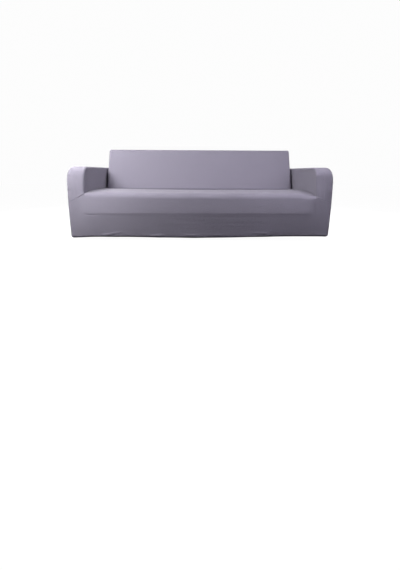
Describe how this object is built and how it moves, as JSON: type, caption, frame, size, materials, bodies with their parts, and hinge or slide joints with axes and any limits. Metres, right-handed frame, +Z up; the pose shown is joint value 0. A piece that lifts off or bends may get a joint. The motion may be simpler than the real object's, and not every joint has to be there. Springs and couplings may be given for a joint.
{
  "type": "sofa slipcover",
  "caption": "Fitted stretch-knit slipcover for a sofa with arms: flat seat, front apron, reclined back and rounded arms, hollow and open underneath.",
  "frame": {"origin": "middle of the underside of the panel over the top of the backrest, where the cover hangs from", "axes": "+X along the cover's length, to the right seen from the front; +Y from front to rear; +Z up; the front apron faces -Y"},
  "size_m": [2.2112, 0.8414, 0.7762],
  "materials": {
    "knit": "matt lilac-grey jacquard stretch knit with small raised bumps in staggered rows"
  },
  "bodies": {
    "root": {"seat_front": "knit", "back_inside": "knit", "back_outside": "knit", "back_gusset_left": "knit", "back_gusset_right": "knit", "arm_sleeve_left": "knit", "arm_sleeve_right": "knit", "arm_front_left": "knit", "arm_front_right": "knit"}
  },
  "joints": []
}
